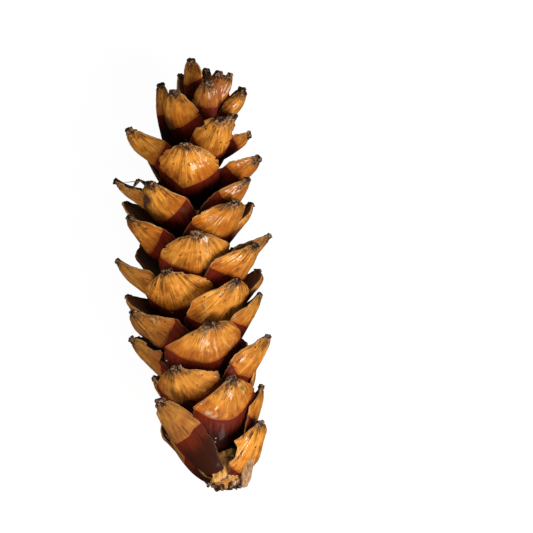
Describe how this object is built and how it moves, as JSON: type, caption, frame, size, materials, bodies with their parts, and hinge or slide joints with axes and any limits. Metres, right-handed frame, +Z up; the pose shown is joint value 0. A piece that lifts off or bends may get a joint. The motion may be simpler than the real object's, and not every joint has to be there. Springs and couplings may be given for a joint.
{
  "type": "pine cone",
  "caption": "Open pine cone with woody cupped scales in a spiral on a bowed axis, varnished, lying on its side.",
  "frame": {"origin": "on the table, under the middle of the lying cone", "axes": "+Y along the cone from the broken stem to its tip, +Z up"},
  "size_m": [0.0568, 0.153, 0.05],
  "materials": {
    "varnished_scales": "clear gloss varnish"
  },
  "bodies": {
    "root": {"pine_cone": "varnished_scales"}
  },
  "joints": []
}
